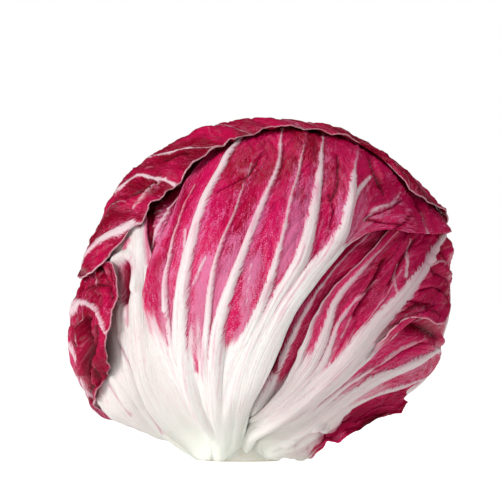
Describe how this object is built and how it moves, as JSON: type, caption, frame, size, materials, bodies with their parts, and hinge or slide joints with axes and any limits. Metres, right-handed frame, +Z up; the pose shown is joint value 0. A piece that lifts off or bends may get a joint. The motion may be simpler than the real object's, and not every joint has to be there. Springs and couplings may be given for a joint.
{
  "type": "radicchio",
  "caption": "Round red radicchio head: overlapping wavy leaves with fleshy white ribs round a tight heart, standing on its cut stem.",
  "frame": {"origin": "centre of the stem's flat cut face, on which the head stands", "axes": "+Z up the stem into the head, -Y out of the side with the broad white ribs, +X to the right of that side"},
  "size_m": [0.1275, 0.1247, 0.1147],
  "materials": {
    "stem": "matte moist white flesh",
    "heart_leaf": "satin, crimson with fine white veins",
    "red_leaf": "satin waxy, crimson with white ribs",
    "ribbed_leaf": "satin waxy, white at the base, magenta between the ribs",
    "pale_leaf": "satin fleshy white with pink folds"
  },
  "bodies": {
    "root": {"stem": "stem", "heart": "heart_leaf", "leaf_inner_left": "red_leaf", "leaf_inner_right": "red_leaf", "leaf_back_right": "red_leaf", "leaf_lower_right": "ribbed_leaf", "leaf_right": "ribbed_leaf", "leaf_left": "pale_leaf", "leaf_front": "ribbed_leaf", "leaf_left_outer": "red_leaf", "leaf_lower_back": "ribbed_leaf", "leaf_cap": "red_leaf"}
  },
  "joints": []
}
